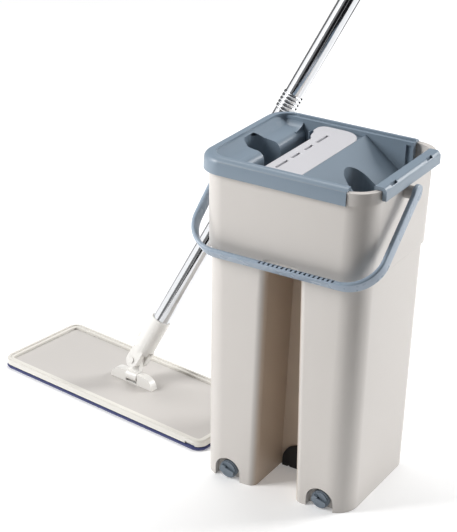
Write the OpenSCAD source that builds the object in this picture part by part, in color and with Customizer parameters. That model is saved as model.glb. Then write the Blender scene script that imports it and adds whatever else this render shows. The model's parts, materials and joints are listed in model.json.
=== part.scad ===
// Self-wringing flat mop and two-chamber bucket.
// Millimetres, +Z up. Origin: centre of the bucket's base, on the floor.
// +X runs to the right along the bucket's front face, +Y to its back.

/* [Bucket] */
// Base length along X
base_l = 176.8; // [174:0.4:179]
// Base width along Y
base_w = 150.4; // [148:0.4:152]
// Wall thickness of the tub
wall = 2.8; // [2.4:0.1:3.0]
// Height of the shoulder where the two legs end
shoulder_z = 268; // [262:1:270]
// Depth of the gap between the legs, from the base edge
gap_depth = 61; // [40:1:64]

/* [Lid] */
// Height of the lid top
top_z = 370; // [370:0.5:371]
// Radius of the notch beside the wringing slot
notch_l_r = 17; // [14:0.5:18]
// Radius of the notch beside the wash slot
notch_r_r = 19; // [15:0.5:19.5]

/* [Bail] */
// Distance from the pivots to the inside of the grip
bail_reach = 115; // [112:1:116]
// How far the hanging bail points below level, degrees
bail_drop = 40.5; // [39:0.5:43]
// Strap thickness
strap_t = 4.6; // [4:0.2:5]

/* [Mop] */
// Length of the mop frame
mop_l = 310; // [280:1:312]
// Width of the mop frame
mop_w = 126; // [110:1:128]
// Turn of the mop frame about the vertical
mop_yaw = -8.5; // [-9:0.5:-6]
// Lean of the pole about the frame's long axis
lean_back = 20; // [12:0.5:24]
// Lean of the pole along the frame's long axis
lean_side = 19.3; // [16:0.1:21]
// Outer diameter of the pole tubes
tube_d = 21; // [20:0.5:21]
// Distance from the upper joint pin to the top of the pole
pole_len = 1245; // [1150:5:1300]

/* [Hidden] */
$fn = 64;
e = 0.01;
rim_z = 366;            // top of the tub's lip
lip_z = 353;            // underside of the lip
skirt_z = 352.2;        // underside of the lid's skirt
body_l = 191.4;         // tub length at the lip
body_w = 165.0;         // tub width at the lip
corner = 26;            // radius of the tub's upright corners
lip_l = 196.8;
lip_w = 170.8;
lid_l = 200;
lid_w = 173.6;
lid_r = 28.5;
legs_in = 2.2;          // setback of the legs under the shoulder
floor_t = 3;
gap_top = 264;          // top of the gap, inside its rounded mouth
gap_x = 1.7;            // middle of the gap
gap_base = 24.35;       // half its width at the floor
gap_head = 19.25;       // half its width at the top
mouth_r = 8.5;          // rounding of the gap's front edges
gap_back = -base_w/2 + gap_depth;
drain_x = 56;
drain_z = 10.5;
drain_face = -66;       // floor of the drain recess
bail_z = 345;
bail_y = 0;
arm_in = 105;           // inside face of the bail arms
panel_z = 366;
slot_x0 = -57;          // left face of the wringing slot
roller_x = -25;
roller_z = 351;
roller_r = 6.3;
wash_x = 62;            // left edge of the wash slot
hinge_z = 18;
knuckle_h = 19;
mop_x = -252;
mop_y = 38;
frame_top = 13;
frame_low = 5.4;
deck_z = 9;
tube_r = tube_d/2;
ring_low = 350;         // foot of the lower ring stack, from the upper joint pin

cream = [0.86, 0.85, 0.83];
blue_grey = [0.52, 0.58, 0.64];
pale_blue = [0.62, 0.70, 0.79];
lilac = [0.86, 0.85, 0.88];
slate = [0.46, 0.50, 0.54];
black = [0.06, 0.06, 0.06];
steel = [0.75, 0.76, 0.78];
red = [0.70, 0.10, 0.06];
navy = [0.13, 0.17, 0.36];

function half_l(z) = base_l/2 + (body_l - base_l)/2*z/skirt_z;
function half_w(z) = base_w/2 + (body_w - base_w)/2*z/skirt_z;
function flip(s) = s > 0 ? 0 : 1;

// Rectangle with round corners, centred.
module round_rect(l, w, r) {
    square([l - 2*r, w], center = true);
    square([l, w - 2*r], center = true);
    for (sx = [-1, 1], sy = [-1, 1]) translate([sx*(l/2 - r), sy*(w/2 - r)]) circle(r);
}

// Level slice of a round-cornered box, half a millimetre thick.
module slice(hl, hw, r, z) {
    for (sx = [-1, 1], sy = [-1, 1])
        translate([sx*(hl - r), sy*(hw - r), z]) cylinder(r = r, h = 0.5);
}

// Shape drawn in X-Z, run along Y from y0 to y1.
module along_y(y0, y1) {
    translate([0, y1, 0]) rotate([90, 0, 0]) linear_extrude(y1 - y0) children();
}

// Shape drawn in Y-Z, run along X from x0 to x1.
module along_x(x0, x1) {
    translate([x0, 0, 0]) rotate([90, 0, 90]) linear_extrude(x1 - x0) children();
}

// Round-topped arch standing on the floor.
module arch(r, h) {
    translate([0, h - r]) circle(r);
    translate([-r, -1]) square([2*r, h - r + 1]);
}

// Frames of reference of the mop's joints.
module at_mop() {
    translate([mop_x, mop_y, 0]) rotate([0, 0, mop_yaw]) children();
}

module at_knuckle() {
    at_mop() translate([0, 0, hinge_z]) rotate([-lean_back, 0, 0]) children();
}

module at_pole() {
    at_knuckle() translate([0, 0, knuckle_h]) rotate([0, lean_side, 0]) children();
}

// ---------- bucket ----------

// Profile of the gap between the legs, grown by g.
module gap_profile(g) {
    r = 9 + 0.8*g;
    b = gap_base + g;
    t = gap_head + g;
    translate([gap_x, 0]) {
        polygon([[-b, -1], [b, -1], [t, gap_top + g - r], [-t, gap_top + g - r]]);
        translate([-t + r, gap_top + g - r - 1]) square([2*(t - r), r + 1]);
        for (s = [-1, 1]) translate([s*(t - r), gap_top + g - r]) circle(r);
    }
}

// Turns its children to the front face's draft: Y is then the depth behind that face.
module at_front() {
    translate([0, -base_w/2, 0]) rotate([0.705, 0, 0]) children();
}

// Rounded edges of the gap, in three steps.
module gap_mouth() at_front() {
    steps = [[8.5, 0], [4.25, 0.134], [1.14, 0.5], [-0.2, 1.047]];
    for (i = [0:2]) hull() for (j = [i, i + 1])
        along_y(steps[j][0]*mouth_r/8.5 - 0.1, steps[j][0]*mouth_r/8.5) gap_profile(steps[j][1]*mouth_r);
    along_y(-10, -0.15) gap_profile(1.047*mouth_r);
}

module tub_solid() {
    hull() {
        slice(base_l/2, base_w/2, corner, 0);
        slice(half_l(shoulder_z) - legs_in, half_w(shoulder_z) - legs_in, corner, shoulder_z - 1);
    }
    hull() {
        slice(half_l(shoulder_z) - legs_in - 0.2, half_w(shoulder_z) - legs_in - 0.2, corner,
            shoulder_z - 3);
        slice(half_l(shoulder_z), half_w(shoulder_z), corner + 1, shoulder_z);
        slice(body_l/2, body_w/2, corner + 1.5, lip_z + 2);
    }
    translate([0, 0, lip_z]) linear_extrude(rim_z - lip_z) round_rect(lip_l, lip_w, corner + 2.4);
    for (s = [-1, 1]) mirror([flip(s), 0, 0])
        along_x(93.8, 104.6) translate([bail_y, bail_z]) circle(6.8);
}

module tub_hollow() {
    difference() {
        hull() {
            slice(base_l/2 - wall, base_w/2 - wall, corner - wall, floor_t);
            slice(half_l(shoulder_z) - legs_in - wall, half_w(shoulder_z) - legs_in - wall,
                corner - wall, shoulder_z - 3);
        }
        along_y(-100, gap_back + wall) gap_profile(wall);
        at_front() along_y(-20, mouth_r + wall) gap_profile(1.047*mouth_r + wall);
        translate([-1.4, -100, 0]) cube([2.8, 200, 311]);
        for (s = [-1, 1]) translate([s*drain_x, 0, 0]) {
            along_y(-100, drain_face + wall) arch(16.5 + wall, 25 + wall);
            along_y(-100, drain_face + 9) translate([0, drain_z]) circle(9.5);
        }
        along_y(-100, gap_back + 15) foot_niche(2.6);
    }
    difference() {
        hull() {
            slice(half_l(shoulder_z) - legs_in - wall - 0.3, half_w(shoulder_z) - legs_in - wall - 0.3,
                corner - wall, shoulder_z - 3.6);
            slice(half_l(shoulder_z) - wall, half_w(shoulder_z) - wall, corner + 1 - wall,
                shoulder_z + 1);
            slice(body_l/2 - wall, body_w/2 - wall, corner - 1, rim_z + 1);
        }
        along_y(-100, gap_back + wall) gap_profile(wall);
        at_front() along_y(-20, mouth_r + wall) gap_profile(1.047*mouth_r + wall);
        translate([-1.4, -100, 200]) cube([2.8, 200, 111]);
    }
}

module foot_niche(g) {
    arch(20.4 + g, 28.4 + g);
}

module tub() color(cream) difference() {
    tub_solid();
    tub_hollow();
    along_y(-100, gap_back) gap_profile(0);
    gap_mouth();
    along_y(-100, gap_back + 12) foot_niche(0);
    for (s = [-1, 1]) {
        translate([s*drain_x, 0, 0]) {
            along_y(-100, drain_face) arch(15.5, 25);
            along_y(-100, drain_face + 20) translate([0, drain_z]) circle(6);
        }
        mirror([flip(s), 0, 0]) along_x(94.1, 110) translate([bail_y, bail_z]) circle(4.55);
    }
}

module rear_foot() color(black) difference() {
    along_y(gap_back - 3, gap_back + 11.8) arch(20.2, 28.2);
    translate([-30, -40, -30]) cube([60, 60, 30]);
    for (x = [-12, 0, 12]) translate([x - 1, -40, -1]) cube([2, 60, 2.2]);
}

// ---------- lid ----------

module lid_shell() {
    hull() {
        slice(lid_l/2, lid_w/2, lid_r, skirt_z);
        slice(lid_l/2, lid_w/2, lid_r, top_z - 8);
        slice(lid_l/2 - 0.6, lid_w/2 - 0.6, lid_r - 0.6, top_z - 5);
        slice(lid_l/2 - 2.2, lid_w/2 - 2.2, lid_r - 2.2, top_z - 2.8);
        slice(lid_l/2 - 4.6, lid_w/2 - 4.6, lid_r - 4.6, top_z - 1.2);
        slice(lid_l/2 - 7, lid_w/2 - 7, lid_r - 7, top_z - 0.5);
    }
}

// Inside of the rolled rim, where the basin begins.
module rim_opening() {
    hull() {
        slice(lid_l/2 - 13, lid_w/2 - 10.4, lid_r - 8.5, skirt_z - 40);
        slice(lid_l/2 - 13, lid_w/2 - 10.4, lid_r - 8.5, top_z - 3);
        slice(lid_l/2 - 12, lid_w/2 - 9.4, lid_r - 7.6, top_z + 0.1);
    }
}

module hump_outline(t) {
    r = 10 - t;
    polygon([[-95, 364 - t], [-89 + t, 368.6 - t], [-84 + t/2, 364.6 - t], [-77, 360 - t], [-67, 358.6 - t],
        [-67, 348.6], [slot_x0 - t, 348.6], [slot_x0 - t, 322 - t], [-95, 322 - t]]);
    translate([-67, 348.6]) circle(r);
}

module slope_outline(t) {
    polygon([[13.9, 365.4 - t], [wash_x - t*0.7, 328.6 - t*1.1], [wash_x - t, 300], [13.9, 300]]);
}

// Profile of the basin floor across the lid.
module basin_profile() {
    difference() {
        hump_outline(0);
        hump_outline(2.4);
    }
    translate([-28, 359.6]) square([42, 2.4]);
    translate([-16, 318]) square([2.4, 43]);
    difference() {
        slope_outline(0);
        slope_outline(2.4);
        translate([0, 290]) square([70, 22]);
    }
}

module lid_basin() {
    intersection() {
        union() {
            along_y(-76.6, 76.6) basin_profile();
            // end walls
            for (s = [-1, 1]) mirror([0, flip(s), 0]) difference() {
                translate([-93, 72.4, 318]) cube([163, 4.8, 49.8]);
                translate([60, 70, 300]) cube([6, 5, 64]);
            }
            // humps rise to the rim at both ends
            for (s = [-1, 1]) mirror([0, flip(s), 0]) intersection() {
                along_x(-93, slot_x0 - 3) polygon([[77, 368.4], [73.6, 365], [69, 361], [62, 358.7],
                    [56, 357.6], [56, 352], [77, 352]]);
                along_y(50, 78) union() {
                    translate([-95, 340]) square([28, 30]);
                    translate([-67, 356.4]) circle(10);
                }
            }
            // ribs at the back of the wringing slot
            for (x = [-51, -43]) translate([x, 66.4, 330]) cube([1.6, 7, 27]);
            // wall of the left notch
            intersection() {
                translate([0, 0, 322]) linear_extrude(40) {
                    translate([-72, 0]) circle(notch_l_r + 2.2);
                    translate([-72, -notch_l_r - 2.2]) square([15, 2*notch_l_r + 4.4]);
                }
                along_y(-30, 30) hump_outline(0);
            }
            // wall of the right notch
            intersection() {
                translate([0, 0, 306]) linear_extrude(60) {
                    translate([47, 0]) circle(notch_r_r + 2.2);
                    translate([47, -notch_r_r - 2.2]) square([15, 2*notch_r_r + 4.4]);
                }
                along_y(-30, 30) slope_outline(0);
            }
        }
        translate([0, 0, 300]) linear_extrude(80) round_rect(183, 156.8, 26);
    }
}

module lid() color(blue_grey) difference() {
    union() {
        difference() {
            lid_shell();
            rim_opening();
            // channel that fits over the tub's lip
            translate([0, 0, skirt_z - 1]) linear_extrude(rim_z + 1.2 - skirt_z) difference() {
                round_rect(lip_l + 0.8, lip_w + 0.8, corner + 2.8);
                round_rect(183, 156.8, 26);
            }
            translate([0, 0, skirt_z - 1]) linear_extrude(lip_z - skirt_z + 1.2)
                round_rect(lip_l + 0.8, lip_w + 0.8, corner + 2.8);
        }
        lid_basin();
    }
    // open right-hand end
    translate([72, -100, 300]) cube([40, 120, 80]);
    translate([68.5, 10, 300]) cube([40, 100, 80]);
    // notches for the pole
    translate([-72, 0, 300]) cylinder(r = notch_l_r, h = 66);
    translate([-72, -notch_l_r, 300]) cube([20, 2*notch_l_r, 66]);
    translate([47, 0, 290]) cylinder(r = notch_r_r, h = 80);
    translate([47, -notch_r_r, 290]) cube([20, 2*notch_r_r, 80]);
    // seat of the panel's front end
    translate([-28.3, -75.9, 362]) cube([42.2, 4, 12]);
    // seats of the roller bearings
    for (s = [-1, 1]) mirror([0, flip(s), 0])
        along_y(72, 74.2) translate([roller_x, roller_z]) circle(3.1);
    panel_slots(0.4);
    // sockets of the panel's studs
    for (y = [-60, 60]) translate([0, y, 350]) cylinder(r = 3.05, h = 20);
}

// Plan of the tongue-shaped panel: a wider rounded head at the back.
module panel_plan() {
    translate([-28, -75.6]) square([41.6, 121.6]);
    translate([-10.4, 46]) circle(24);
    translate([-29, 50]) square([18.6, 20]);
    translate([-38, 55]) square([20, 6]);
    for (y = [55, 61]) translate([-29, y]) circle(9);
}

// Row of drain slots near the panel's left edge, grown by g.
module panel_slots(g) {
    for (d = [[-64.9, -40.1], [-32, -15], [-4.8, 12.2], [21.2, 46.6]])
        translate([-19.2 - g, d[0] - g, 352]) cube([3.4 + 2*g, d[1] - d[0] + 2*g, 30]);
}

module wringer_panel() color(lilac) {
    difference() {
        translate([0, 0, 362.1]) linear_extrude(panel_z - 362.1) panel_plan();
        panel_slots(0);
    }
    for (y = [-60, 60]) translate([0, y, 357]) cylinder(r = 3, h = 6);
}

module squeegee_holder() color(slate) difference() {
    translate([-27, -60, 326]) cube([10.9, 120, 10]);
    translate([-28, -61, 329.8]) cube([8, 122, 2.4]);
}

module squeegee_blade() color(black) {
    translate([-33.5, -59.5, 329.9]) cube([13.4, 119, 2.2]);
    along_y(-59.5, 59.5) translate([-33.5, 331]) circle(1.1);
}

module wringer_roller() color(lilac) difference() {
    along_y(-63, 63) translate([roller_x, roller_z]) circle(roller_r);
    along_y(-70, 70) translate([roller_x, roller_z]) circle(2.05);
    for (y = [-50:10:50]) along_y(y - 0.6, y + 0.6) translate([roller_x, roller_z]) difference() {
        circle(roller_r + 1);
        circle(roller_r - 0.6);
    }
}

module roller_axle() color(steel)
    along_y(-71.5, 71.5) translate([roller_x, roller_z]) circle(2);

module roller_bearing(s) color(red) mirror([0, flip(s), 0]) difference() {
    union() {
        translate([-32.6, 64, 344.5]) cube([15.6, 8.3, 14.9]);
        along_y(72, 74) translate([roller_x, roller_z]) circle(3);
    }
    along_y(60, 72) translate([roller_x, roller_z]) circle(2.05);
}

// ---------- end bar ----------

module bar_profile() {
    polygon([[90, 342], [91.6, 342], [91.6, 366.3], [98.8, 366.3], [98.8, 356.2], [103.4, 356.2],
        [103.4, 365.6], [101.4, 369], [99.6, 370], [90.8, 370], [90, 369.2]]);
}

module end_bar() color(blue_grey) difference() {
    along_y(-62.5, 62.5) bar_profile();
    for (s = [-1, 1]) mirror([0, flip(s), 0]) {
        translate([86, 60, 330]) rotate([0, 0, 45]) cube([20, 20, 60], center = true);
        translate([84, 58.5, 330]) cube([9, 10, 34]);
    }
    for (y = [-43, 39]) translate([99.4, y - 6.5, 366.7]) cube([2.7, 13, 10]);
    for (y = [-40, 0, 40]) along_x(88, 95) translate([y, 350]) circle(2.05);
}

module wash_scraper() color(slate) {
    translate([86.4, -55, 345.2]) cube([3.5, 110, 10.6]);
    for (i = [0:36]) translate([82.6, -54.6 + i*3, 345.2]) cube([4, 1.4, 10.6]);
    for (y = [-40, 0, 40]) along_x(89, 91.5) translate([y, 350]) circle(2);
}

// ---------- bail ----------

// Outline of the bail in its own plane: X across, Y out from the pivots.
module bail_outline(g, r) {
    translate([-arm_in - g, 0]) square([2*(arm_in + g), bail_reach + g - r]);
    translate([-arm_in - g + r, 0]) square([2*(arm_in + g - r), bail_reach + g]);
    for (s = [-1, 1]) translate([s*(arm_in + g - r), bail_reach + g - r]) circle(r);
}

module bail() color(pale_blue)
    translate([0, bail_y, bail_z]) rotate([180 + bail_drop, 0, 0]) difference() {
        union() {
            intersection() {
                translate([0, 0, -9]) linear_extrude(18) difference() {
                    bail_outline(strap_t, 34 + strap_t);
                    bail_outline(0, 34);
                    translate([-140, -40]) square([280, 40]);
                }
                // strap is narrower along the grip
                union() {
                    translate([-120, -1, -7.6]) cube([240, 130, 15.2]);
                }
            }
            for (s = [-1, 1]) mirror([flip(s), 0, 0]) {
                along_x(arm_in, arm_in + strap_t) circle(9.5);
                along_x(94.5, arm_in + 1) circle(4.5);
            }
        }
        // row of finger slots sunk in the upper edge of the grip
        for (i = [0:16]) translate([-15.5 + i*5.14, bail_reach + strap_t/2 - 0.1, -10])
            rotate([0, 0, 28]) translate([-1.05, -1.55, 0]) cube([2.1, 3.1, 14]);
    }

// ---------- drains ----------

module drain_plug(x) color(slate) difference() {
    union() {
        along_y(-72.6, -68) translate([x, drain_z]) circle(10.2);
        along_y(-74, -72.5) translate([x, drain_z]) circle(9);
        along_y(-68.1, -58) translate([x, drain_z]) circle(5.95);
        // turning bar
        intersection() {
            along_y(-77, -73) translate([x, drain_z]) circle(8.6);
            translate([x, -75, drain_z]) rotate([0, 16, 0]) union() {
                cube([18, 4, 5], center = true);
                translate([-5.2, 0, 0]) cube([5, 4, 8], center = true);
            }
        }
    }
    along_y(-66, -50) translate([x, drain_z]) circle(3);
}

module plug_seal(x) color(black) difference() {
    along_y(-67.95, -66.05) translate([x, drain_z]) circle(8.4);
    along_y(-70, -60) translate([x, drain_z]) circle(6.0);
}

// ---------- mop head ----------

module mop_frame() color(cream) at_mop() difference() {
    union() {
        translate([0, 0, frame_low]) linear_extrude(frame_top - frame_low - 1)
            round_rect(mop_l, mop_w, 12);
        translate([0, 0, frame_top - 1.01]) linear_extrude(1.01)
            round_rect(mop_l - 1.6, mop_w - 1.6, 11.2);
    }
    translate([0, 0, deck_z - 2.2]) linear_extrude(20) round_rect(mop_l - 15, mop_w - 15, 5);
    translate([0, 0, frame_top - 1.2]) linear_extrude(20) round_rect(mop_l - 7, mop_w - 7, 8.5);
    for (x = [-26, -14, 14, 26]) translate([x, 0, 0]) {
        cylinder(r = 1.7, h = 20);
        cylinder(r = 3, h = frame_low + 1);
    }
    // notch at the front right corner
    translate([mop_l/2 - 22, -mop_w/2 - 1, frame_low - 1]) cube([14, 3, 4]);
}

module mop_deck() color(lilac) at_mop() difference() {
    translate([0, 0, deck_z - 2.1]) linear_extrude(2.1) round_rect(mop_l - 15.4, mop_w - 15.4, 4.8);
    for (x = [-26, -14, 14, 26]) translate([x, 0, 0]) cylinder(r = 1.7, h = 20);
}

module deck_screws() color(steel) at_mop()
    for (x = [-26, -14, 14, 26]) translate([x, 0, 0]) {
        translate([0, 0, 5.5]) cylinder(r = 1.5, h = 9);
        translate([0, 0, 5.5]) cylinder(r = 2.8, h = 0.85);
    }

module hook_strips() color(black) at_mop()
    for (y = [-42, 42]) translate([-140, y - 10, 4.4]) cube([280, 20, 0.95]);

module mop_pad() color(navy) at_mop() {
    linear_extrude(4.35) round_rect(mop_l + 1, mop_w + 1, 12.5);
}

// ---------- mop joint ----------

module dome_profile() {
    difference() {
        union() {
            translate([-18, 0]) square([36, 14]);
            for (s = [-1, 1]) translate([s*18, 0]) circle(14);
        }
        translate([-40, -20]) square([80, 20]);
    }
}

module hinge_base() color(cream) at_mop() difference() {
    translate([0, 0, deck_z + 0.1]) along_y(-4.8, 4.8) dome_profile();
    translate([-8.4, -20, deck_z + 1.5]) cube([16.8, 40, 30]);
    along_x(-24, 24) translate([0, hinge_z]) circle(2.02);
    for (x = [-26, -14, 14, 26]) translate([x, 0, 0]) cylinder(r = 1.55, h = 14.6);
}

module hinge_pin_lower() color(steel) at_mop()
    along_x(-23.5, 23.5) translate([0, hinge_z]) circle(2);

module knuckle() color(cream) at_knuckle() difference() {
    union() {
        along_x(-8.1, 8.1) circle(6.4);
        translate([-8.1, -3.6, 0]) cube([16.2, 7.2, 8]);
        along_y(-3.6, 3.6) union() {
            polygon([[-8.1, 3], [8.1, 3], [7, 19], [-7, 19]]);
            translate([0, knuckle_h]) circle(7);
        }
    }
    along_x(-20, 20) circle(2.05);
    along_y(-20, 20) translate([0, knuckle_h]) circle(2.05);
}

module hinge_pin_upper() color(steel) at_pole() {
    along_y(-11.6, 11.6) circle(2);
    along_y(-13, -11.5) circle(3.6);
}

module pole_socket() color(cream) at_pole() difference() {
    union() {
        translate([0, 0, 13]) cylinder(r = 12.3, h = 47);
        // fork ears
        for (s = [-1, 1]) mirror([0, flip(s), 0]) along_y(3.9, 11.4) union() {
            circle(8.4);
            translate([-8.4, 0]) square([16.8, 16]);
        }
        // fin along the left side of the sleeve
        along_y(-3.8, 3.8) polygon([[-8, 18.5], [-13.4, 18.5], [-15.2, 27], [-12.4, 52], [-6, 54]]);
    }
    translate([0, 0, 22]) cylinder(r = tube_r + 0.02, h = 50);
    translate([-30, -3.9, -10]) cube([60, 7.8, 28]);
    along_y(-20, 20) circle(2.02);
}

// ---------- pole ----------

module pipe(z0, z1, r, t) {
    difference() {
        translate([0, 0, z0]) cylinder(r = r, h = z1 - z0);
        translate([0, 0, z0 - 1]) cylinder(r = r - t, h = z1 - z0 + 2);
    }
}

// Stack of rolled rings round a joint in the pole.
module rings(z0, n) {
    rotate_extrude() difference() {
        union() {
            translate([0, z0]) square([tube_r - 0.2, n*4.4]);
            for (i = [0:n - 1]) translate([tube_r - 0.9, z0 + 2.2 + i*4.4]) circle(2);
        }
        translate([-20, z0 - 10]) square([20 + tube_r - 0.8 - 2.6, n*4.4 + 20]);
    }
}

module tube_lower() color(steel) at_pole() pipe(22.2, ring_low, tube_r, 0.8);

module thread_collar_lower() color(steel) at_pole() rings(ring_low + 0.1, 5);

module coupler_lower() color(slate) at_pole() difference() {
    union() {
        translate([0, 0, ring_low - 24]) cylinder(r = tube_r - 0.85, h = 24);
        translate([0, 0, ring_low - 1]) cylinder(r = tube_r - 3.45, h = 24);
        translate([0, 0, ring_low + 22.2]) cylinder(r = tube_r - 0.85, h = 24);
    }
    translate([0, 0, ring_low - 34]) cylinder(r = 4, h = 100);
}

module tube_middle() color(steel) at_pole() pipe(ring_low + 22.2, 770, tube_r, 0.8);

module thread_collar_upper() color(steel) at_pole() rings(770.1, 5);

module coupler_upper() color(slate) at_pole() difference() {
    union() {
        translate([0, 0, 746]) cylinder(r = tube_r - 0.85, h = 24);
        translate([0, 0, 769]) cylinder(r = tube_r - 3.45, h = 24);
        translate([0, 0, 792.2]) cylinder(r = tube_r - 0.85, h = 24);
    }
    translate([0, 0, 736]) cylinder(r = 4, h = 100);
}

module tube_upper() color(steel) at_pole() pipe(792.2, pole_len - 40, tube_r, 0.8);

module grip() color(blue_grey) at_pole() difference() {
    union() {
        translate([0, 0, pole_len - 180]) cylinder(r = 13.2, h = 148);
        translate([0, 0, pole_len - 180]) rotate_extrude() for (i = [0:9])
            translate([0, 12 + i*13]) square([13.9, 7]);
    }
    translate([0, 0, pole_len - 181]) cylinder(r = tube_r + 0.02, h = 160);
}

module grip_cap() color(slate) at_pole() difference() {
    union() {
        translate([0, 0, pole_len - 60]) cylinder(r = tube_r - 0.85, h = 29);
        translate([0, 0, pole_len - 31.9]) cylinder(r = 13.2, h = 6);
        intersection() {
            translate([0, 0, pole_len - 26]) cylinder(r = 13.2, h = 40);
            along_y(-5, 5) union() {
                translate([0, pole_len - 13.2]) circle(13.2);
                translate([-13.2, pole_len - 27]) square([26.4, 13.8]);
            }
        }
    }
    along_y(-20, 20) translate([0, pole_len - 13.2]) circle(6);
}

tub();
rear_foot();
lid();
wringer_panel();
squeegee_holder();
squeegee_blade();
wringer_roller();
roller_axle();
roller_bearing(-1);  // roller_bearing_front
roller_bearing(1);  // roller_bearing_back
end_bar();
wash_scraper();
bail();
drain_plug(-drain_x);  // drain_plug_left
drain_plug(drain_x);  // drain_plug_right
plug_seal(-drain_x);  // plug_seal_left
plug_seal(drain_x);  // plug_seal_right
mop_frame();
mop_deck();
deck_screws();
hook_strips();
mop_pad();
hinge_base();
hinge_pin_lower();
knuckle();
hinge_pin_upper();
pole_socket();
tube_lower();
thread_collar_lower();
coupler_lower();
tube_middle();
thread_collar_upper();
coupler_upper();
tube_upper();
grip();
grip_cap();
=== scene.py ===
"""Looks for the self-wringing mop and bucket. Metres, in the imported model's own frame."""

import json
import math

import bpy
from mathutils import Matrix, Vector, noise
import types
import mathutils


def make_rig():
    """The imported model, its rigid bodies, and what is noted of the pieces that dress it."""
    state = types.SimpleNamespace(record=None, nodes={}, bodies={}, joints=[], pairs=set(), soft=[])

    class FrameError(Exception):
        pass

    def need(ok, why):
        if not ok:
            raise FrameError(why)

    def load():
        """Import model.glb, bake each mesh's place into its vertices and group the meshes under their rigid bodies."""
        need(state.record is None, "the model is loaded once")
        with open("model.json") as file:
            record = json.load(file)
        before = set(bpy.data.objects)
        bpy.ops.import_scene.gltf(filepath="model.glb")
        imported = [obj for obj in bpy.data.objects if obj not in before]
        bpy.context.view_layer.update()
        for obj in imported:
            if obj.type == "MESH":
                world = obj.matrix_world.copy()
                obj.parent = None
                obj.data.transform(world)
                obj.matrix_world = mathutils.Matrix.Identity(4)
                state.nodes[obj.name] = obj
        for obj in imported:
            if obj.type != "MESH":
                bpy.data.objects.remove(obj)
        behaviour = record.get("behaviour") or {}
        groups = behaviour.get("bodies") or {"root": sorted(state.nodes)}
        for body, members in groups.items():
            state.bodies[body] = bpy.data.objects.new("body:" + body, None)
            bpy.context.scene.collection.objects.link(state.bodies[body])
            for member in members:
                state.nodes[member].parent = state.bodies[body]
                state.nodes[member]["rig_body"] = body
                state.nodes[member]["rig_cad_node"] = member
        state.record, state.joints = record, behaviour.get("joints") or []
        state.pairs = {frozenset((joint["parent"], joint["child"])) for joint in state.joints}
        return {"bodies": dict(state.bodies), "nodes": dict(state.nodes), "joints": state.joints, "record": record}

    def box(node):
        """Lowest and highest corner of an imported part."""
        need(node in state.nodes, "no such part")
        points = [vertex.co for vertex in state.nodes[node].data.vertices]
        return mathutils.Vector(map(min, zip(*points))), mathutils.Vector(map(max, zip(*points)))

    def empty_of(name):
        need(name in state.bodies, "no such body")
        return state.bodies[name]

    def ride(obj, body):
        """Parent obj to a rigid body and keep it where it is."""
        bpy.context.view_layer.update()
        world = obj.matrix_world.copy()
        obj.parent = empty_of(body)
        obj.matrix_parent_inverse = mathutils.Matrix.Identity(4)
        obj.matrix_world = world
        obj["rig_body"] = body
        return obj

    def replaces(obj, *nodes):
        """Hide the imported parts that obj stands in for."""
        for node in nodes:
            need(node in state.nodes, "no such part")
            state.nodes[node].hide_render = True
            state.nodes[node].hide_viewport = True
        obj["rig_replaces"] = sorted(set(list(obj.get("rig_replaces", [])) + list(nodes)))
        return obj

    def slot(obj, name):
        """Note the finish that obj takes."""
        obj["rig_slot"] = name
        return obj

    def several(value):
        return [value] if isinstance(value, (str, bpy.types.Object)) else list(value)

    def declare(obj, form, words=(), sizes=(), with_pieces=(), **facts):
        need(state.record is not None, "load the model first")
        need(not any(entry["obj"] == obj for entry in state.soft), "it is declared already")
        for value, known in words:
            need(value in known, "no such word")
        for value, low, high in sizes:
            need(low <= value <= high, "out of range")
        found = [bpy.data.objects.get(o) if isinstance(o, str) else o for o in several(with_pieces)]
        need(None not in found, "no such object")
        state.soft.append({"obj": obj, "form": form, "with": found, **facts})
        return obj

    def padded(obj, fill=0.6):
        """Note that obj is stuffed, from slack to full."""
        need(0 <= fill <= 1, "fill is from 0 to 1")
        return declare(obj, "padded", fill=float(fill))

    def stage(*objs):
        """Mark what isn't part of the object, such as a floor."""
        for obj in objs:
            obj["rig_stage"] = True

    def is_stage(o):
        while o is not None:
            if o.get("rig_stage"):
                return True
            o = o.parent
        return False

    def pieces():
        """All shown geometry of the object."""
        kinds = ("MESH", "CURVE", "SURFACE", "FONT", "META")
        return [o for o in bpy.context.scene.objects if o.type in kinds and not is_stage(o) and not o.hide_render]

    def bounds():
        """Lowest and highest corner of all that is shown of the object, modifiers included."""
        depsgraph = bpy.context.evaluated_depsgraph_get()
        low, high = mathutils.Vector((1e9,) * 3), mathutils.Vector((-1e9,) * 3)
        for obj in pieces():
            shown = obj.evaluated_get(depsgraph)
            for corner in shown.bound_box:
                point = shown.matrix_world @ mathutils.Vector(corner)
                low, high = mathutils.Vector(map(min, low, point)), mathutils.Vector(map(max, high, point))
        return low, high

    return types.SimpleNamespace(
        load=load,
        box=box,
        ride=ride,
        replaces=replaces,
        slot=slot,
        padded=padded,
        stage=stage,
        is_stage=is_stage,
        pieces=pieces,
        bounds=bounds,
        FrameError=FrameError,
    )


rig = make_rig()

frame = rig.load()
CAD_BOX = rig.bounds()
NODES = frame["nodes"]
MM = 0.001

# ---------------------------------------------------------------- camera, lights, floor

CAMERA_AT = Vector((0.73637, -1.45747, 0.97742))
CAMERA_RIGHT = Vector((0.8594, 0.5107, 0.0273))
CAMERA_UP = Vector((-0.2330, 0.3435, 0.9098))
CAMERA_BACK = Vector((0.4552, -0.7882, 0.4141))
LENS_MM = 115.97
SENSOR_MM = 36
BUCKET_MIDDLE = Vector((0.0, 0.0, 0.19))
WORLD_STRENGTH = 0.17
FLOOR_GLOW = 0.18
FLOOR_HALF = 14.0
POLE_MIDDLE, CORNER_MIDDLE = (-0.15, 0.10), (0.06, -0.05)
CARD_STEP_DEG = 8

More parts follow.
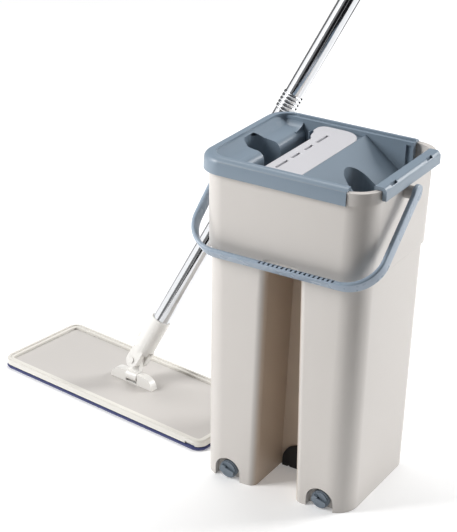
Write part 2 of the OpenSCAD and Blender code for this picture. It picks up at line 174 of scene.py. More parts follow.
# light: (place, (width, height), watts)
LIGHTS = {
    "key": ((-1.9, -1.5, 1.7), (1.0, 1.5), 66),
    "side": ((1.8, 2.1, 1.4), (1.0, 1.8), 74),
    "top": ((-0.5, 1.0, 2.8), (2.0, 1.2), 36),
}


def srgb(r, g, b):
    """Linear colour from 0-255 screen values."""
    def linear(c):
        c /= 255
        return c / 12.92 if c <= 0.04045 else ((c + 0.055) / 1.055) ** 2.4
    return (linear(r), linear(g), linear(b), 1.0)


def add_camera():
    data = bpy.data.cameras.new("camera")
    data.lens = LENS_MM
    data.sensor_width = SENSOR_MM
    data.sensor_fit = "AUTO"
    data.clip_start, data.clip_end = 0.05, 60
    camera = bpy.data.objects.new("camera", data)
    bpy.context.scene.collection.objects.link(camera)
    turn = Matrix((CAMERA_RIGHT, CAMERA_UP, CAMERA_BACK)).transposed().to_quaternion()
    camera.matrix_world = Matrix.LocRotScale(CAMERA_AT, turn, None)
    bpy.context.scene.camera = camera


def add_area_light(name, at, size, power):
    """A rectangular lamp that faces the bucket."""
    data = bpy.data.lights.new(name, "AREA")
    data.shape = "RECTANGLE"
    data.size, data.size_y = size
    data.energy = power
    light = bpy.data.objects.new(name, data)
    bpy.context.scene.collection.objects.link(light)
    light.location = at
    light.rotation_mode = "QUATERNION"
    light.rotation_quaternion = (BUCKET_MIDDLE - Vector(at)).to_track_quat("-Z", "Y")


def add_card(name, middle, azimuths, distance, heights, glow=0.0, shades=False):
    """A curved card round a point that only reflections see, so that chrome has something to mirror.

    With shades, it also keeps bounced light off whatever faces it.
    """
    first, last = azimuths
    steps = max(1, round((last - first) / CARD_STEP_DEG))
    vertices = []
    for i in range(steps + 1):
        a = math.radians(first + (last - first) * i / steps)
        x, y = middle[0] + distance * math.cos(a), middle[1] + distance * math.sin(a)
        vertices += [(x, y, heights[0]), (x, y, heights[1])]
    mesh = bpy.data.meshes.new(name)
    mesh.from_pydata(vertices, [], [(2 * i, 2 * i + 2, 2 * i + 3, 2 * i + 1) for i in range(steps)])
    card = bpy.data.objects.new(name, mesh)
    bpy.context.scene.collection.objects.link(card)
    card.visible_camera = card.visible_shadow = card.visible_transmission = False
    card.visible_diffuse = shades
    mat = bpy.data.materials.new(name)
    mat.use_nodes = True
    surface = mat.node_tree.nodes["Principled BSDF"].inputs
    surface["Base Color"].default_value = (0.01, 0.01, 0.011, 1)
    surface["Specular IOR Level"].default_value = 0.0
    surface["Emission Color"].default_value = (1, 1, 1, 1)
    surface["Emission Strength"].default_value = glow
    mesh.materials.append(mat)
    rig.stage(card)


def add_studio():
    scene = bpy.context.scene
    scene.view_settings.view_transform = "Standard"
    scene.view_settings.look = "None"
    world = bpy.data.worlds.new("studio")
    world.use_nodes = True
    world.node_tree.nodes["Background"].inputs["Color"].default_value = (0.98, 0.99, 1.0, 1)
    world.node_tree.nodes["Background"].inputs["Strength"].default_value = WORLD_STRENGTH
    scene.world = world
    for name, (at, size, power) in LIGHTS.items():
        add_area_light(name, at, size, power)

    mesh = bpy.data.meshes.new("floor")
    corners = [(x * FLOOR_HALF, y * FLOOR_HALF, 0) for x, y in ((-1, -1), (1, -1), (1, 1), (-1, 1))]
    mesh.from_pydata(corners, [], [(0, 1, 2, 3)])
    floor = bpy.data.objects.new("floor", mesh)
    scene.collection.objects.link(floor)
    mesh.materials.append(floor_material())
    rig.stage(floor)
    add_card("card_white", POLE_MIDDLE, (180, 240), 2.0, (0.0, 1.8), glow=1.3)
    add_card("card_grey", POLE_MIDDLE, (241, 266), 1.1, (0.0, 1.4), glow=0.22)
    add_card("card_black", POLE_MIDDLE, (267, 298), 0.75, (0.0, 1.2))
    add_card("card_edge", POLE_MIDDLE, (60, 124), 0.78, (0.0, 0.5))
    add_card("card_corner", CORNER_MIDDLE, (290, 350), 0.42, (0.0, 0.9), shades=True)


# ---------------------------------------------------------------- material helpers

class Shader:
    """A node tree that is written from the shader back to its textures."""

    def __init__(self, name):
        self.material = bpy.data.materials.new(name)
        self.material.use_nodes = True
        self.tree = self.material.node_tree
        self.bsdf = self.tree.nodes["Principled BSDF"]
        self.place = self.add("ShaderNodeTexCoord").outputs["Object"]

    @classmethod
    def reopen(cls, material):
        """The same helper on a material that is already built."""
        s = cls.__new__(cls)
        s.material, s.tree = material, material.node_tree
        s.bsdf = s.tree.nodes["Principled BSDF"]
        s.place = s.add("ShaderNodeTexCoord").outputs["Object"]
        return s

    def add(self, kind, **settings):
        node = self.tree.nodes.new(kind)
        for key, value in settings.items():
            setattr(node, key, value)
        return node

    def join(self, source, target):
        self.tree.links.new(source, target)

    def stretched(self, scale, turn=(0, 0, 0)):
        node = self.add("ShaderNodeMapping")
        node.inputs["Scale"].default_value = scale
        node.inputs["Rotation"].default_value = turn
        self.join(self.place, node.inputs["Vector"])
        return node.outputs["Vector"]

    def noise(self, scale, detail=2.0, rough=0.5, place=None):
        node = self.add("ShaderNodeTexNoise")
        node.inputs["Scale"].default_value = scale
        node.inputs["Detail"].default_value = detail
        node.inputs["Roughness"].default_value = rough
        self.join(place or self.place, node.inputs["Vector"])
        return node.outputs["Fac"]

    def ramp(self, value, low, high, to_low=0.0, to_high=1.0):
        node = self.add("ShaderNodeMapRange")
        node.interpolation_type = "SMOOTHSTEP"
        for key, v in zip(("From Min", "From Max", "To Min", "To Max"), (low, high, to_low, to_high)):
            node.inputs[key].default_value = v
        self.join(value, node.inputs["Value"])
        return node.outputs["Result"]

    def math(self, operation, a, b):
        node = self.add("ShaderNodeMath", operation=operation)
        for socket, v in zip(node.inputs, (a, b)):
            if isinstance(v, (int, float)):
                socket.default_value = v
            else:
                self.join(v, socket)
        return node.outputs[0]

    def mix(self, factor, a, b):
        node = self.add("ShaderNodeMix", data_type="RGBA")
        colours = [s for s in node.inputs if s.type == "RGBA"]
        for socket, v in ((node.inputs[0], factor), (colours[0], a), (colours[1], b)):
            if isinstance(v, (int, float, tuple)):
                socket.default_value = v
            else:
                self.join(v, socket)
        return [s for s in node.outputs if s.type == "RGBA"][0]

    def painted_crease_shade(self, reach=0.004, most=0.75):
        """Painted shade: how dark it gets where the walls of a slot or a seam stand close together."""
        node = self.add("ShaderNodeAmbientOcclusion", samples=6)
        node.inputs["Distance"].default_value = reach
        return self.ramp(node.outputs["AO"], 0.12, 0.55, most, 0.0)

    def height(self):
        node = self.add("ShaderNodeSeparateXYZ")
        self.join(self.place, node.inputs[0])
        return node.outputs["Z"]

    def colour(self, value):
        self.join(value, self.bsdf.inputs["Base Color"])

    def roughness(self, value):
        self.join(value, self.bsdf.inputs["Roughness"])

    def bump(self, heights, distance, strength=1.0, after=None):
        node = self.add("ShaderNodeBump")
        node.inputs["Distance"].default_value = distance
        node.inputs["Strength"].default_value = strength
        self.join(heights, node.inputs["Height"])
        if after is not None:
            self.join(after, node.inputs["Normal"])
        return node.outputs["Normal"]

    def normal(self, value):
        self.join(value, self.bsdf.inputs["Normal"])

    def fixed(self, **values):
        for key, v in values.items():
            self.bsdf.inputs[key.replace("_", " ")].default_value = v


def shade(colour, factor):
    return tuple(min(1.0, c * factor) for c in colour[:3]) + (1.0,)


def moulded(name, colour, rough=0.34, grain=0.000012, grain_size=0.0009, soiled=0.0):
    """Injection-moulded plastic: fine spark texture, slow colour drift, painted shade in seams and slots, light
    scuffs.
    """
    s = Shader(name)
    drift = s.ramp(s.noise(7, 2, 0.5), 0.30, 0.70)
    base = s.mix(drift, shade(colour, 0.996), shade(colour, 1.004))
    flecks = s.ramp(s.noise(420, 2, 0.6), 0.60, 0.76, 0.0, 0.05)
    base = s.mix(flecks, base, shade(colour, 0.93))
    if soiled:
        low = s.ramp(s.height(), 0.0, 0.03, soiled, 0.0)
        base = s.mix(s.math("MULTIPLY", low, s.noise(90, 3, 0.7)), base, shade(colour, 0.62))
    # painted shade: slots and seams darkened where their walls stand close
    base = s.mix(s.painted_crease_shade(), base, shade(colour, 0.38))
    s.colour(base)
    strokes = s.noise(1.0, 2, 0.5, s.stretched((30, 260, 40), (0.2, 0.5, 0.9)))
    scuffs = s.ramp(strokes, 0.62, 0.70, 0.0, 0.03)
    patches = s.ramp(s.noise(26, 3, 0.6), 0.3, 0.7, rough - 0.012, rough + 0.015)
    s.roughness(s.math("ADD", patches, scuffs))
    s.normal(s.bump(s.noise(1 / grain_size, 1.5, 0.5), grain))
    s.fixed(IOR=1.49)
    return s.material


def metal(name, colour, rough, brushed=(900, 900, 30), streak=0.08):
    """Plated or drawn steel: fine lines along the work, faint smears."""
    s = Shader(name)
    lines = s.noise(1.0, 3, 0.6, s.stretched(brushed))
    smears = s.ramp(s.noise(38, 3, 0.6), 0.35, 0.7)
    s.colour(s.mix(smears, colour, shade(colour, 0.93)))
    lifted = s.ramp(lines, 0.3, 0.7, rough - streak / 2, rough + streak / 2)
    s.roughness(s.math("ADD", lifted, s.ramp(smears, 0.5, 1.0, 0.0, 0.05)))
    s.normal(s.bump(lines, 0.00001, 0.25))
    s.fixed(Metallic=1.0)
    return s.material


def rubber(name, colour, rough=0.72):
    s = Shader(name)
    bloom = s.ramp(s.noise(120, 4, 0.65), 0.45, 0.75, 0.0, 0.5)
    s.colour(s.mix(bloom, colour, shade(colour, 1.9)))
    s.roughness(s.ramp(s.noise(60, 2, 0.5), 0.3, 0.7, rough - 0.06, rough + 0.06))
    s.normal(s.bump(s.noise(1600, 2, 0.6), 0.00005))
    return s.material


def microfibre(name, colour):
    """Looped pile: tight tufts with painted shade, lighter on top and darker down between them; matt, with a soft
    sheen and a little colour change from loop to loop.
    """
    s = Shader(name)
    cells = s.add("ShaderNodeTexVoronoi", feature="F1")
    cells.inputs["Scale"].default_value = 620
    s.join(s.place, cells.inputs["Vector"])
    tuft = cells.outputs["Distance"]
    # painted shade: each tuft lighter on top, darker down between the tufts
    tuft_shade = s.ramp(tuft, 0.25, 0.75)
    base = s.mix(tuft_shade, shade(colour, 1.35), shade(colour, 0.55))
    base = s.mix(s.ramp(s.noise(45, 3, 0.6), 0.35, 0.65, 0.0, 0.5), base, shade(colour, 1.15))
    s.colour(base)
    s.normal(s.bump(s.math("SUBTRACT", 1.0, tuft), 0.0006, 0.8, s.bump(s.noise(2600, 2, 0.7), 0.0001)))
    s.roughness(s.ramp(s.noise(300, 2, 0.5), 0.3, 0.7, 0.86, 0.98))
    s.fixed(Sheen_Weight=0.5, Sheen_Roughness=0.45)
    s.bsdf.inputs["Sheen Tint"].default_value = shade(colour, 3.0)
    return s.material


def woven(name, colour):
    """Narrow woven tape: fine crossing threads with painted shade between them, slight sheen."""
    s = Shader(name)
    across = s.noise(1.0, 1, 0.4, s.stretched((2600, 700, 700)))
    along = s.noise(1.0, 1, 0.4, s.stretched((700, 2600, 2600)))
    threads = s.math("MAXIMUM", across, along)
    # painted shade: darker between the threads, lighter on them
    s.colour(s.mix(s.ramp(threads, 0.4, 0.7), shade(colour, 0.7), shade(colour, 1.3)))
    s.roughness(s.ramp(threads, 0.4, 0.7, 0.9, 0.75))
    s.normal(s.bump(threads, 0.0002, 0.7))
    s.fixed(Sheen_Weight=0.3)
    return s.material


# the gap between the legs, where the tub takes painted shade, in the tub's own coordinates
GAP_MIDDLE_X, GAP_HALF_WIDTH = 0.0017, 0.0365
GAP_FRONT_Y, GAP_FRONT_SLOPE = 0.0752, 0.0123
GAP_BACK_Y, GAP_TOP_Z = -0.0137, 0.2745
GAP_FADE = (0.0004, 0.0060)


def tub_plastic(name, colour, painted_shade):
    """The tub's plastic, with painted shade: warmer and darker in the gap between the legs, where light only comes off
    its own walls.
    """
    material = moulded(name, colour, 0.36, soiled=0.2)
    s = Shader.reopen(material)
    split = s.add("ShaderNodeSeparateXYZ")
    s.join(s.place, split.inputs[0])
    x, y, z = (split.outputs[i] for i in range(3))
    off_middle = s.math("ABSOLUTE", s.math("SUBTRACT", x, GAP_MIDDLE_X), 0.0)
    beside = s.math("LESS_THAN", off_middle, GAP_HALF_WIDTH)
    depth = s.math("ADD", s.math("ADD", y, GAP_FRONT_Y), s.math("MULTIPLY", z, GAP_FRONT_SLOPE))
    inside = s.math("MULTIPLY", s.ramp(depth, *GAP_FADE), s.math("LESS_THAN", y, GAP_BACK_Y))
    gap_shade_mask = s.math("MULTIPLY", s.math("MULTIPLY", beside, inside), s.math("LESS_THAN", z, GAP_TOP_Z))
    plain = s.bsdf.inputs["Base Color"].links[0].from_socket
    # painted shade: the gap's walls take the warmer, darker colour
    s.colour(s.mix(gap_shade_mask, plain, painted_shade))
    return material


def floor_material():
    s = Shader("floor")
    s.colour(s.mix(s.ramp(s.noise(3, 2, 0.5), 0.3, 0.7), (0.93, 0.93, 0.93, 1), (0.95, 0.95, 0.95, 1)))
    s.roughness(s.ramp(s.noise(8, 2, 0.5), 0.3, 0.7, 0.55, 0.65))
    s.fixed(Specular_IOR_Level=0.2, Emission_Strength=FLOOR_GLOW)
    s.bsdf.inputs["Emission Color"].default_value = (1, 1, 1, 1)
    return s.material


CREAM = srgb(207, 202, 197)
# painted shade for the walls of the gap between the legs
GAP_PAINTED_SHADE = srgb(190, 174, 158)
LID_BLUE = srgb(130, 145, 159)
BAIL_BLUE = srgb(148, 163, 179)
LILAC = srgb(205, 204, 208)
DECK = srgb(196, 192, 188)
SLATE = srgb(112, 123, 134)
NAVY = srgb(52, 60, 112)

MATERIALS = {
    "tub_cream": tub_plastic("tub_cream", CREAM, GAP_PAINTED_SHADE),
    "rubber_black": rubber("rubber_black", (0.012, 0.012, 0.013, 1)),
    "lid_blue_grey": moulded("lid_blue_grey", LID_BLUE, 0.33),
    "panel_lilac": moulded("panel_lilac", LILAC, 0.30),
    "slate_plastic": moulded("slate_plastic", SLATE, 0.38),
    "roller_plastic": moulded("roller_plastic", srgb(205, 205, 208), 0.42),
    "steel": metal("steel", (0.62, 0.62, 0.63, 1), 0.28),
    "bearing_red": moulded("bearing_red", srgb(176, 42, 30), 0.36),
    "bail_blue": moulded("bail_blue", BAIL_BLUE, 0.27),
    "frame_cream": moulded("frame_cream", srgb(221, 218, 211), 0.34),
    "joint_white": moulded("joint_white", srgb(232, 230, 226), 0.28),
    "deck_grey": moulded("deck_grey", DECK, 0.40, grain=0.00006, grain_size=0.0012),
    "hook_fabric": rubber("hook_fabric", (0.018, 0.018, 0.02, 1), 0.85),
    "pad_navy": microfibre("pad_navy", NAVY),
    "binding_navy": woven("binding_navy", srgb(46, 54, 104)),
    "chrome": metal("chrome", (0.70, 0.71, 0.73, 1), 0.10, streak=0.05),
    "grip_blue_grey": moulded("grip_blue_grey", srgb(126, 142, 160), 0.55, grain=0.00008),
}

# ---------------------------------------------------------------- CAD nodes: finish and edges

# node: (finish, edge radius in mm or 0)
FINISH = {
    "tub": ("tub_cream", 0.9),
    # painted shade: the rear foot is a black block set in the arch between the legs, where deep shade is seen
    "rear_foot": ("rubber_black", 0.8),
    "lid": ("lid_blue_grey", 0.5),
    "wringer_panel": ("panel_lilac", 0.6),
    "squeegee_holder": ("slate_plastic", 0.5),
    "squeegee_blade": ("rubber_black", 0.2),
    "wringer_roller": ("roller_plastic", 0.3),
    "roller_axle": ("steel", 0.3),
    "roller_bearing_front": ("bearing_red", 0.6),
    "roller_bearing_back": ("bearing_red", 0.6),
    "end_bar": ("lid_blue_grey", 0.4),
    "wash_scraper": ("slate_plastic", 0.3),
    "drain_plug_left": ("slate_plastic", 0.5),
    "drain_plug_right": ("slate_plastic", 0.5),
    "plug_seal_left": ("rubber_black", 0.4),
    "plug_seal_right": ("rubber_black", 0.4),
    "mop_frame": ("frame_cream", 0.5),
    "mop_deck": ("deck_grey", 0.3),
    "deck_screws": ("steel", 0.3),
    "hinge_base": ("joint_white", 0.9),
    "hinge_pin_lower": ("steel", 0.4),
    "knuckle": ("joint_white", 0.8),
    "hinge_pin_upper": ("joint_white", 0.5),
    "pole_socket": ("joint_white", 0.7),
    "tube_lower": ("chrome", 0.2),
    "thread_collar_lower": ("chrome", 0.0),
    "coupler_lower": ("slate_plastic", 0.4),
    "tube_middle": ("chrome", 0.2),
    "thread_collar_upper": ("chrome", 0.0),
    "coupler_upper": ("slate_plastic", 0.4),
    "tube_upper": ("chrome", 0.2),
    "grip": ("grip_blue_grey", 0.6),
    "grip_cap": ("grip_blue_grey", 0.9),
}
SMOOTH_ANGLE = math.radians(32)
FLAT_ANGLE = math.radians(0.4)
WELD_DISTANCE = 0.000004
WIDE_EDGE_MM = 0.85


def soften(obj, radius_mm):
    """Smooth shading and rounded edges, as modifiers, so the node's own mesh stays as packed."""
    weld = obj.modifiers.new("weld", "WELD")
    weld.merge_threshold = WELD_DISTANCE
    flat = obj.modifiers.new("flat", "DECIMATE")
    flat.decimate_type = "DISSOLVE"
    flat.angle_limit = FLAT_ANGLE
    if radius_mm:
        bevel = obj.modifiers.new("edges", "BEVEL")
        bevel.width = radius_mm * MM
        bevel.segments = 3 if radius_mm > WIDE_EDGE_MM else 2
        bevel.limit_method = "ANGLE"
        bevel.angle_limit = SMOOTH_ANGLE
        bevel.use_clamp_overlap = True
        bevel.miter_outer = "MITER_ARC"
    for polygon in obj.data.polygons:
        polygon.use_smooth = True
    try:
        with bpy.context.temp_override(object=obj, active_object=obj, selected_objects=[obj]):
            bpy.ops.object.shade_auto_smooth(angle=SMOOTH_ANGLE)
    except RuntimeError as problem:
        print("auto smooth:", obj.name, problem)
    even = obj.modifiers.new("even", "WEIGHTED_NORMAL")
    even.keep_sharp = True


def finish_nodes():
    for node, (material, radius) in FINISH.items():
        obj = NODES[node]
        obj.data.materials.clear()
        obj.data.materials.append(MATERIALS[material])
        soften(obj, radius)


# ---------------------------------------------------------------- pieces that stand for CAD nodes: values

def joint(name):
    return next(j for j in frame["joints"] if j["name"] == name)


HINGE_AXIS = Vector(joint("mop_knuckle")["axis"])
PAD_TURN = math.atan2(-HINGE_AXIS.y, -HINGE_AXIS.x)
PAD_LENGTH, PAD_WIDTH, PAD_CORNER = 0.311, 0.127, 0.0125
PAD_THICK = 0.0042
PAD_TRIM = 0.0008
PAD_GRID = 0.00125
PAD_EDGE_STEPS = [0.0, 0.0002, 0.0007, 0.0014, 0.0022, 0.0032]
FUZZ, FUZZ_REACH = 0.00028, 0.004
LOOP_PITCH, LOOP_HEIGHT = 0.0034, 0.0011
BINDING, BINDING_INSET, BINDING_STEP, STITCH_EVERY = 0.0013, 0.0022, 0.0012, 3
HOOK_STRIP_LENGTH, HOOK_STRIP_WIDTH, HOOK_STRIP_OFFSET = 0.280, 0.020, 0.042
HOOK_PITCH, HOOK_LEAN = 0.0036, 0.0005

BAIL_PIVOT = Vector(joint("bail_swing")["pos_m"])
BAIL_DROP = math.radians(40.5)
BAIL_INSIDE, BAIL_REACH, BAIL_BEND = 0.105, 0.115, 0.034
STRAP_HALF, STRAP_HALF_WIDTH = 0.0023, 0.0076
STRAP_ROUND = 0.0019
EYE_RADIUS = 0.0095
STUD_RADIUS, STUD_END = 0.0045, 0.0945
PIT_FIRST, PIT_PITCH, PIT_COUNT = -0.0155, 0.00514, 17
PIT_HALF_LENGTH, PIT_HALF_WIDTH, PIT_DEPTH = 0.00105, 0.0014, 0.0116
PIT_SLANT = -math.tan(math.radians(28))
BEND_STEPS, STUD_SIDES = 25, 32


def mop_place(node):
    """Matrix from the mop head's own axes, at the middle of a node's footprint, to the frame."""
    low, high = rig.box(node)
    middle = (low + high) / 2
    return Matrix.Translation((middle.x, middle.y, 0)) @ Matrix.Rotation(PAD_TURN, 4, "Z")


def new_piece(name, vertices, faces, material, body, slot, place=None, smooth=True):
    mesh = bpy.data.meshes.new(name)
    mesh.from_pydata([tuple(v) for v in vertices], [], faces)
    if place is not None:
        mesh.transform(place)
    mesh.validate()
    for polygon in mesh.polygons:
        polygon.use_smooth = smooth
    mesh.materials.append(MATERIALS[material])
    piece = bpy.data.objects.new(name, mesh)
    bpy.context.scene.collection.objects.link(piece)
    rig.ride(piece, body)
    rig.slot(piece, slot)
    return piece


# ---------------------------------------------------------------- the carrying bail

def strap_section(half_width):
    """Round-edged section, clockwise from the pits' far edge: (across the thickness, along the width)."""
    r = min(STRAP_ROUND, half_width)
    flat = STRAP_HALF - STRAP_ROUND
    pit_edge = math.asin((PIT_HALF_WIDTH - flat) / STRAP_ROUND)
    turns = [0.0, pit_edge, math.radians(57), math.radians(74), math.pi / 2]
    corner = [(flat + STRAP_ROUND * math.sin(a), half_width - r + r * math.cos(a)) for a in turns]
    upper_right = [(t, -w) for t, w in corner]
    lower_right = [(t, w) for t, w in reversed(corner)]
    lower_left = [(-t, w) for t, w in corner]
    upper_left = [(-t, -w) for t, w in reversed(corner)]
    return upper_right + lower_right + lower_left + upper_left


def strap_path():
    """Stations of the bail, in its own plane: (x, y, outward x, outward y, half width, slides, pit)."""
    side, turn_y = BAIL_INSIDE + STRAP_HALF, BAIL_REACH - BAIL_BEND
    end_y = BAIL_REACH + STRAP_HALF
    arm = []
    for i in range(13):
        y = -EYE_RADIUS * math.cos(math.radians(1 + i * 127 / 12))
        arm.append((y, max(math.sqrt(EYE_RADIUS**2 - y * y), STRAP_HALF_WIDTH if y > 0 else 0.0)))
    arm += [(y, STRAP_HALF_WIDTH) for y in (0.012, 0.03, 0.05, 0.068, turn_y)]
    left = [(-side, y, -1.0, 0.0, w, False, False) for y, w in arm]
    bend = BAIL_BEND + STRAP_HALF
    corner_x = BAIL_INSIDE - BAIL_BEND
    for i in range(1, BEND_STEPS):
        a = math.pi / 2 * i / BEND_STEPS
        left.append((-corner_x - bend * math.cos(a), turn_y + bend * math.sin(a), -math.cos(a), math.sin(a),
                     STRAP_HALF_WIDTH, False, False))
    right = [(-x, y, -ox, oy, w, slides, pit) for x, y, ox, oy, w, slides, pit in reversed(left)]
    before_pits = (-corner_x, -0.055, -0.036, -0.022)
    grip = [(x, end_y, 0.0, 1.0, STRAP_HALF_WIDTH, False, False) for x in before_pits]
    for i in range(PIT_COUNT):
        middle = PIT_FIRST + PIT_PITCH * i
        grip.append((middle - PIT_HALF_LENGTH, end_y, 0.0, 1.0, STRAP_HALF_WIDTH, True, True))
        grip.append((middle + PIT_HALF_LENGTH, end_y, 0.0, 1.0, STRAP_HALF_WIDTH, True, False))
    grip.append((corner_x, end_y, 0.0, 1.0, STRAP_HALF_WIDTH, False, False))
    return left + grip + right


def bail_faces():
    """The bail strap with its round edges and its row of slanting pits."""
    vertices, faces = [], []
    stations = strap_path()
    for x, y, ox, oy, half_width, slides, _ in stations:
        for t, w in strap_section(half_width):
            along = PIT_SLANT * t if slides else 0.0
            vertices.append((x + ox * t + along, y + oy * t, w))
    k = len(strap_section(STRAP_HALF_WIDTH))
    over_pit = {0, k - 1, k - 2}
    for n in range(len(stations) - 1):
        a, b = n * k, (n + 1) * k
        for i in range(k):
            if stations[n][6] and i in over_pit:
                continue
            j = (i + 1) % k
            faces.append([a + j, a + i, b + i, b + j])
        if stations[n][6]:
            lip = [a + k - 2, a + k - 1, a, a + 1, b + 1, b, b + k - 1, b + k - 2]
            floor = len(vertices)
            for v in lip:
                vx, vy, _ = vertices[v]
                vertices.append((vx, vy, -STRAP_HALF_WIDTH + PIT_DEPTH))
            for i in range(8):
                j = (i + 1) % 8
                faces.append([lip[i], lip[j], floor + j, floor + i])
            faces.append([floor + i for i in range(8)])
    faces.append(list(range(k)))
    faces.append([len(stations) * k - k + i for i in reversed(range(k))])
    for side in (-1, 1):
        rings = [(STUD_END, STUD_RADIUS - 0.0005), (STUD_END + 0.0005, STUD_RADIUS),
                 (BAIL_INSIDE + 0.0008, STUD_RADIUS)]
        first, count = len(vertices), STUD_SIDES
        for x, r in rings:
            vertices += [(side * x, r * math.cos(math.tau * i / count), r * math.sin(math.tau * i / count))
                         for i in range(count)]
        for ring in range(len(rings) - 1):
            for i in range(count):
                a, b = first + ring * count, first + (ring + 1) * count
                quad = [a + i, a + (i + 1) % count, b + (i + 1) % count, b + i]
                faces.append(quad if side > 0 else quad[::-1])
        cap = [first + i for i in range(count)]
        faces.append(cap[::-1] if side > 0 else cap)
    return vertices, faces


def add_bail():
    place = Matrix.Translation(BAIL_PIVOT) @ Matrix.Rotation(math.pi + BAIL_DROP, 4, "X")
    bail = new_piece("bail_strap", *bail_faces(), "bail_blue", "bail_unit", "bail_blue", place)
    bail.data.set_sharp_from_angle(angle=math.radians(40))
    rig.replaces(bail, "bail")


# ---------------------------------------------------------------- the microfibre pad and its hook strips

def inside_distance(x, y, length, width, corner):
    """How far a point lies inside a round-cornered rectangle."""
    qx, qy = abs(x) - (length / 2 - corner), abs(y) - (width / 2 - corner)
    outside = math.hypot(max(qx, 0), max(qy, 0)) + min(max(qx, qy), 0)
    return corner - outside


def graded(half, step, edge_steps):
    """Positions from -half to half: closely spaced at the ends, even in the middle."""
    inner = half - edge_steps[-1]
    count = max(2, round(2 * inner / step))
    middle = [-inner + 2 * inner * i / count for i in range(count + 1)]
    ends = [half - e for e in edge_steps[:-1]]
    return [-e for e in ends] + middle + ends[::-1]


def loop_height(x, y):
    """0 to 1: loops in offset rows, each a little different."""
    row = math.floor(y / LOOP_PITCH)
    shift = 0.5 * (row % 2) + 0.35 * noise.noise((row * 3.1, x * 90, 1.7))
    wave = 0.5 + 0.5 * math.cos(2 * math.pi * (x / LOOP_PITCH + shift))
    across = 0.5 + 0.5 * math.cos(2 * math.pi * (y / LOOP_PITCH + 0.5))
    return (wave * across) ** 0.7 * (0.8 + 0.4 * noise.noise((x * 300, y * 300, 4.0)))


def pad_faces():
    """The pad as one closed skin: looped pile below, plain cloth above, a round soft edge."""
    length, width, corner = PAD_LENGTH - PAD_TRIM, PAD_WIDTH - PAD_TRIM, PAD_CORNER
    round_edge = PAD_THICK / 2
    us = graded(length / 2, PAD_GRID, PAD_EDGE_STEPS)
    vs = graded(width / 2, PAD_GRID, PAD_EDGE_STEPS)
    vertices, faces, index = [], [], {}

    def point(i, j, top):
        rim = i in (0, len(us) - 1) or j in (0, len(vs) - 1)
        key = (i, j, top or rim)
        if key in index:
            return index[key]
        y = vs[j]
        reach = length / 2
        if abs(y) > width / 2 - corner:
            reach += math.sqrt(max(0.0, corner**2 - (abs(y) - width / 2 + corner) ** 2)) - corner
        x = us[i] * reach / (length / 2)
        d = max(0.0, inside_distance(x, y, length, width, corner))
        lift = round_edge - math.sqrt(max(0.0, round_edge**2 - max(0.0, round_edge - d) ** 2))
        if rim:
            z = PAD_THICK / 2
        elif top:
            z = PAD_THICK - lift
        else:
            blend = min(1.0, d / FUZZ_REACH)
            z = lift + blend * LOOP_HEIGHT * (1 - min(1.0, loop_height(x, y)))
        if d < FUZZ_REACH:
            away = noise.noise((x * 420, y * 420, z * 420)) * FUZZ
            x += away * (1 if x > 0 else -1)
            y += noise.noise((x * 380, y * 380, 7.0)) * FUZZ
        index[key] = len(vertices)
        vertices.append((x, y, z))
        return index[key]

    for i in range(len(us) - 1):
        for j in range(len(vs) - 1):
            above = ((i, j), (i + 1, j), (i + 1, j + 1), (i, j + 1))
            below = ((i, j), (i, j + 1), (i + 1, j + 1), (i + 1, j))
            faces.append([point(a, b, True) for a, b in above])
            faces.append([point(a, b, False) for a, b in below])
    return vertices, faces


def outline(length, width, corner, step):
    """Points and outward directions round a round-cornered rectangle, evenly spaced."""
    hl, hw = length / 2 - corner, width / 2 - corner
    points = []
    for k, (cx, cy) in enumerate(((hl, hw), (-hl, hw), (-hl, -hw), (hl, -hw))):
        count = max(6, round(corner * math.pi / 2 / step))
        for i in range(count + 1):
            a = math.pi / 2 * (k + i / count)
            at = Vector((cx + corner * math.cos(a), cy + corner * math.sin(a), 0))
            points.append((at, Vector((math.cos(a), math.sin(a), 0))))
        nx, ny = ((-hl, hw), (-hl, -hw), (hl, -hw), (hl, hw))[k]
        start, out = points[-1]
        a = math.pi / 2 * (k + 1)
        end = Vector((nx + corner * math.cos(a), ny + corner * math.sin(a), 0))
        straight = max(2, round((end - start).length / step))
        points += [(start.lerp(end, i / straight), out) for i in range(1, straight)]
    return points


def binding_faces():
    """Tape sewn round the pad's upper edge: a folded band with a slight pucker at each stitch."""
    section = [(0.05, -1.0), (0.75, -0.8), (1.0, -0.1), (0.85, 0.6), (0.25, 1.0), (-1.2, 1.0), (-2.2, 0.95),
               (-2.3, 0.7), (-1.2, 0.6), (0.0, 0.2)]
    path = outline(PAD_LENGTH - BINDING_INSET, PAD_WIDTH - BINDING_INSET, PAD_CORNER - 0.001, BINDING_STEP)
    vertices, faces = [], []
    for n, (at, out) in enumerate(path):
        stitch = 0.5 + 0.5 * math.cos(2 * math.pi * n / STITCH_EVERY)
        pucker = 1 - 0.10 * stitch + 0.05 * noise.noise((n * 0.37, 2.0, 5.0))
        for sx, sz in section:
            lifted = Vector((0, 0, PAD_THICK - BINDING + sz * BINDING * pucker))
            vertices.append(at + out * (sx * BINDING * pucker) + lifted)
    k, total = len(section), len(path)
    for n in range(total):
        m = (n + 1) % total
        faces += [[n * k + a, n * k + (a + 1) % k, m * k + (a + 1) % k, m * k + a] for a in range(k)]
    return vertices, faces


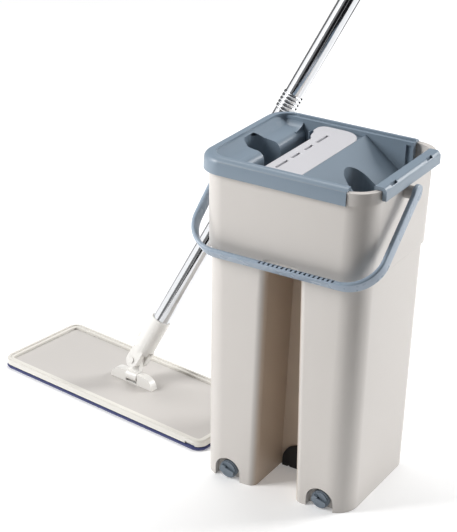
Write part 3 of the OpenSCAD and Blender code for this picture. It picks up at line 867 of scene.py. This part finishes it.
def hook_faces(length, width, thick):
    """A strip of small hooks, points down, under a thin backing."""
    vertices, faces = [], []

    def block(x0, x1, y0, y1, z0, z1, lean=0.0, tip=1.0):
        b = len(vertices)
        cx, cy = (x0 + x1) / 2, (y0 + y1) / 2
        for z, k, dx in ((z1, 1.0, 0.0), (z0, tip, lean)):
            for x, y in ((x0, y0), (x1, y0), (x1, y1), (x0, y1)):
                vertices.append((cx + (x - cx) * k + dx, cy + (y - cy) * k, z))
        faces.extend([[b, b + 1, b + 2, b + 3], [b + 7, b + 6, b + 5, b + 4], [b, b + 4, b + 5, b + 1],
                      [b + 1, b + 5, b + 6, b + 2], [b + 2, b + 6, b + 7, b + 3], [b + 3, b + 7, b + 4, b]])

    block(-length / 2, length / 2, -width / 2, width / 2, thick * 0.55, thick)
    for i in range(int(length / HOOK_PITCH) - 1):
        for j in range(int(width / HOOK_PITCH) - 1):
            x = -length / 2 + HOOK_PITCH * (i + 1)
            y = -width / 2 + HOOK_PITCH * (j + 1) + 0.0006 * (i % 2)
            lean = HOOK_LEAN if j % 2 else -HOOK_LEAN
            block(x, x + 0.0008, y, y + 0.0006, 0.0, thick * 0.57, lean, 0.6)
    return vertices, faces


def add_pad():
    place = mop_place("mop_pad")
    pad = new_piece("pad_fleece", *pad_faces(), "pad_navy", "mop_head", "pad_navy", place)
    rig.replaces(pad, "mop_pad")
    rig.padded(pad, fill=0.9)
    new_piece("pad_binding", *binding_faces(), "binding_navy", "mop_head", "pad_navy", place)
    low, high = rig.box("hook_strips")
    thick = high.z - low.z
    strips = []
    for name, offset in (("hook_strip_front", -HOOK_STRIP_OFFSET), ("hook_strip_back", HOOK_STRIP_OFFSET)):
        at = mop_place("hook_strips") @ Matrix.Translation((0, offset, low.z))
        hooks = hook_faces(HOOK_STRIP_LENGTH, HOOK_STRIP_WIDTH, thick)
        strips.append(new_piece(name, *hooks, "hook_fabric", "mop_head", "hook_fabric", at, False))
    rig.replaces(strips[0], "hook_strips")


# ---------------------------------------------------------------- closing

add_camera()
add_studio()
finish_nodes()
add_bail()
add_pad()

SHOWN_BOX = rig.bounds()
with open("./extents.json", "w") as out:
    json.dump({"cad": [list(c) for c in CAD_BOX], "visual": [list(c) for c in SHOWN_BOX]}, out)
